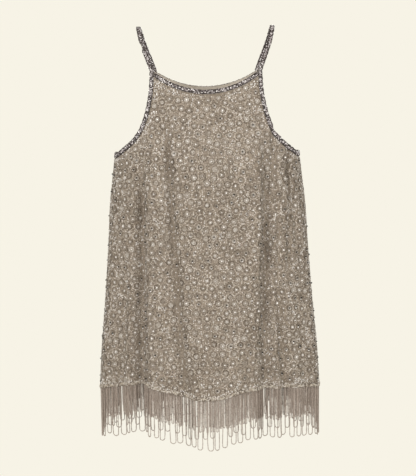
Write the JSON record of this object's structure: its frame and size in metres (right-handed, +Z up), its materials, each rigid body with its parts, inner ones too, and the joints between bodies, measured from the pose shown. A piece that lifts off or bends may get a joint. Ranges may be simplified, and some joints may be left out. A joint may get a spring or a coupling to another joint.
{
  "type": "beaded silk dress with thin straps and looped bead fringe",
  "caption": "Short sleeveless A-line dress of beaded silk, filled out as worn, with braided neck, armholes and straps and a looped bead fringe at the hem.",
  "frame": {"origin": "midway between the two straps where they cross the shoulders, level with their undersides", "axes": "+Z up, the garment hangs towards -Z; -Y is the front; +X is the wearer's left"},
  "size_m": [0.4314, 0.2389, 0.7982],
  "materials": {
    "beaded_silk": "taupe silk covered with translucent cup sequins, seed beads and small stones",
    "braid_stones": "braid of small faceted clear and smoky stones",
    "fringe_beads": "taupe seed beads strung in loops on a pale hem tape"
  },
  "bodies": {
    "root": {"front_panel": "beaded_silk", "back_panel": "beaded_silk", "neck_braid_front": "braid_stones", "neck_braid_back": "braid_stones", "armhole_braid_left": "braid_stones", "armhole_braid_right": "braid_stones", "strap_left": "braid_stones", "strap_right": "braid_stones", "fringe_front": "fringe_beads", "fringe_back": "fringe_beads"}
  },
  "joints": []
}
